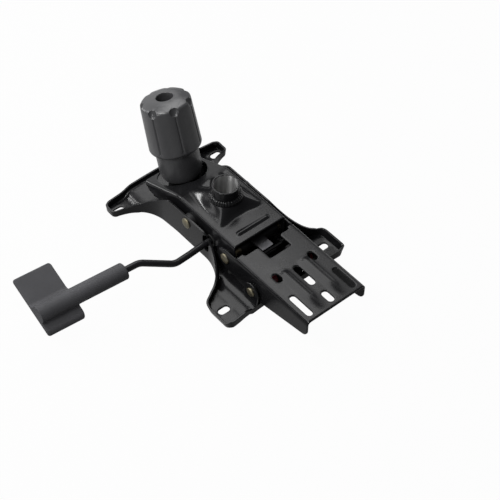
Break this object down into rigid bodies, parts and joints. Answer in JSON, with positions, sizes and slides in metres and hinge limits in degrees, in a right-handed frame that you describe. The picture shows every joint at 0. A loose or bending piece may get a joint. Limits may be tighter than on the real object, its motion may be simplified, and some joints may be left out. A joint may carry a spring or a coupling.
{
  "type": "office chair tilt mechanism",
  "caption": "Pressed-steel tilt mechanism for an office chair: seat plate with slotted ears, gas lift socket, reclining back bracket, tension knob and side lever, lying on its seat pads.",
  "frame": {"origin": "centre of the four seat slots, on the plane of the seat pads", "axes": "+Z out of the gas lift socket, towards the floor in use; +Y to the front of the chair, where the knob is; -X to the lever side, the right hand of a seated person"},
  "size_m": [0.354, 0.3295, 0.1497],
  "materials": {
    "powder_coat": "satin black powder coat on pressed steel",
    "lever_black": "black finish on a bent steel bar",
    "knob_plastic": "fine-textured dark grey plastic",
    "zinc_olive": "yellow zinc plated steel",
    "zinc_grey": "grey zinc plated steel",
    "nylon": "natural nylon",
    "red_sleeve": "dark red plastic",
    "rubber": "black rubber",
    "spring_steel": "dark oiled spring steel"
  },
  "bodies": {
    "seat": {"seat_plate": "powder_coat", "front_pivot_shaft": "zinc_olive", "front_pivot_ring": "spring_steel", "tension_bolt": "zinc_grey", "bolt_anchor": "powder_coat", "tilt_bumpers": "rubber", "rest_buffers": "rubber"},
    "housing": {"housing_shell": "powder_coat", "gas_socket": "powder_coat", "weld_collar": "powder_coat", "front_pivot_bushes": "nylon", "back_pivot_bushes": "nylon", "spring_bridge": "powder_coat", "tension_spring": "spring_steel", "lever_shelf": "powder_coat", "lever_grommet": "rubber", "lock_guide": "powder_coat"},
    "back": {"back_bracket": "powder_coat", "lock_catch": "powder_coat", "back_pivot_shaft": "zinc_olive", "back_pivot_ring": "spring_steel", "link_shaft": "zinc_olive", "link_sleeve": "red_sleeve", "link_washers": "zinc_grey", "link_ring": "spring_steel"},
    "knob_carrier": {"thrust_washer": "zinc_grey"},
    "knob": {"tension_knob": "knob_plastic", "knob_nut": "zinc_grey"},
    "lever_slide": {"lever_carrier": "nylon", "lever_pin": "zinc_grey"},
    "lever": {"lever_rod": "lever_black", "lever_grip": "knob_plastic", "release_arm": "zinc_grey"},
    "lock": {"lock_plate": "zinc_grey"}
  },
  "joints": [
    {"name": "back_recline", "type": "hinge", "parent": "housing", "child": "back", "pos_m": [0, -0.063, 0.035], "axis": [-1, 0, 0], "range_deg": [0, 18], "stiffness_Nm_per_rad": 12, "springref_deg": -20.05, "deforming": ["tension_spring"]},
    {"name": "seat_tilt", "type": "hinge", "parent": "seat", "child": "housing", "pos_m": [0, 0.004, 0.04], "axis": [1, 0, 0], "range_deg": [0, 7.89], "deforming": ["tension_spring"]},
    {"name": "knob_turn", "type": "hinge", "parent": "knob_carrier", "child": "knob", "pos_m": [0, 0.0705, 0.04222], "axis": [0, -0.2756, -0.9613], "range_deg": [0, 1440]},
    {"name": "knob_travel", "type": "slide", "parent": "seat", "child": "knob_carrier", "axis": [0, -0.2756, -0.9613], "range_m": [0, 0.0061], "deforming": ["tension_spring"]},
    {"name": "lever_push", "type": "slide", "parent": "housing", "child": "lever_slide", "axis": [1, 0, 0], "range_m": [0, 0.008]},
    {"name": "lever_lift", "type": "hinge", "parent": "lever_slide", "child": "lever", "pos_m": [-0.027, -0.0315, 0.0355], "axis": [0, -1, 0], "range_deg": [0, 4], "stiffness_Nm_per_rad": 8, "springref_deg": -6.88},
    {"name": "lock_slide", "type": "slide", "parent": "housing", "child": "lock", "axis": [0, -1, 0], "range_m": [0, 0.008]}
  ],
  "couplings": [
    {"joint": "seat_tilt", "follows": "back_recline", "ratio": 0.4358},
    {"joint": "knob_travel", "follows": "knob_turn", "m_per_rad": 0.00023873},
    {"joint": "lock_slide", "follows": "lever_push", "ratio": 1}
  ]
}
